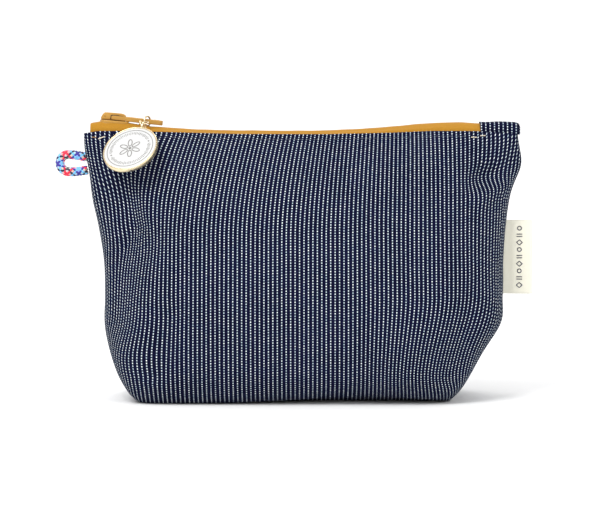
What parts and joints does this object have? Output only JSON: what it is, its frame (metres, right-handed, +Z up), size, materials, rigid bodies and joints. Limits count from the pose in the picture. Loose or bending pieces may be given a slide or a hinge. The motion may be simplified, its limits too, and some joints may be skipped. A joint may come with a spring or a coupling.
{
  "type": "zippered pouch",
  "caption": "Small boxed zippered pouch in dotted navy cloth, with a coil zip, a long pull, a round charm, a cord loop and a side label.",
  "frame": {"origin": "centre of the base's underside, on the surface the pouch stands on", "axes": "+X along the zip towards its closed end tab, +Y to the rear, +Z up; the charm hangs on the front, -Y side"},
  "size_m": [0.2213, 0.0814, 0.132],
  "materials": {
    "outer_cloth": "navy cotton with rows of small white dots",
    "interfacing": "bonded fleece",
    "lining_cloth": "plain woven cotton",
    "zip_tape": "ochre woven zip tape",
    "zip_coil": "ochre nylon coil",
    "painted_metal": "ochre enamel paint on zinc, satin",
    "plated_metal": "pale champagne plating",
    "white_enamel": "smooth white enamel",
    "grey_print": "fine grey print",
    "navy_thread": "navy sewing thread",
    "cream_thread": "cream sewing thread",
    "label_ribbon": "cream woven ribbon",
    "braided_cord": "braided cord in several colours"
  },
  "bodies": {
    "pouch": {"front_panel": "outer_cloth", "back_panel": "outer_cloth", "front_interfacing": "interfacing", "back_interfacing": "interfacing", "front_lining": "lining_cloth", "back_lining": "lining_cloth", "side_seam_left": "outer_cloth", "side_seam_right": "outer_cloth", "bottom_seam": "outer_cloth", "corner_seam_left": "outer_cloth", "corner_seam_right": "outer_cloth", "zip_tape_end": "zip_tape", "bottom_stop": "painted_metal", "bar_tacks": "cream_thread", "zip_end_tab": "outer_cloth", "side_label": "label_ribbon", "cord_loop": "braided_cord"},
    "front_lip": {"zip_tape_front": "zip_tape", "zip_teeth_front": "zip_coil", "top_stop_front": "painted_metal", "topstitch_front": "navy_thread"},
    "back_lip": {"zip_tape_back": "zip_tape", "zip_teeth_back": "zip_coil", "top_stop_back": "painted_metal", "topstitch_back": "navy_thread"},
    "slider": {"slider_body": "painted_metal", "slider_bail": "painted_metal", "slider_lock_pin": "plated_metal"},
    "pull": {"slider_pull": "painted_metal"},
    "ring": {"jump_ring": "plated_metal"},
    "charm": {"link_ring_upper": "plated_metal", "link_ring_lower": "plated_metal", "charm_case": "plated_metal", "charm_enamel": "white_enamel", "charm_motif": "grey_print"}
  },
  "joints": [
    {"name": "slider_travel", "type": "slide", "parent": "pouch", "child": "slider", "axis": [1, 0, 0], "range_m": [0, 0.145]},
    {"name": "front_lip_open", "type": "hinge", "parent": "pouch", "child": "front_lip", "pos_m": [0.004, -0.02, 0.066], "axis": [1, 0, 0], "range_deg": [0, 20], "deforming": ["zip_tape_front", "zip_teeth_front", "top_stop_front", "topstitch_front", "front_panel", "front_interfacing", "front_lining"]},
    {"name": "back_lip_open", "type": "hinge", "parent": "pouch", "child": "back_lip", "pos_m": [0.004, 0.02, 0.066], "axis": [-1, 0, 0], "range_deg": [0, 20], "deforming": ["zip_tape_back", "zip_teeth_back", "top_stop_back", "topstitch_back", "back_panel", "back_interfacing", "back_lining"]},
    {"name": "pull_pivot", "type": "hinge", "parent": "slider", "child": "pull", "pos_m": [-0.08294, 0, 0.12949], "axis": [0, -1, 0], "range_deg": [0, 140]},
    {"name": "ring_swing", "type": "hinge", "parent": "pull", "child": "ring", "pos_m": [-0.0672, -0.00265, 0.1279], "axis": [-0.8192, 0.5736, 0], "range_deg": [0, 70]},
    {"name": "charm_swing", "type": "hinge", "parent": "ring", "child": "charm", "pos_m": [-0.06842, -0.00439, 0.12733], "axis": [-0.1489, -0.2126, 0.9657], "range_deg": [-5, 32]}
  ],
  "couplings": [
    {"joint": "front_lip_open", "follows": "slider_travel", "rad_per_m": 2.4069},
    {"joint": "back_lip_open", "follows": "slider_travel", "rad_per_m": 2.4069}
  ]
}
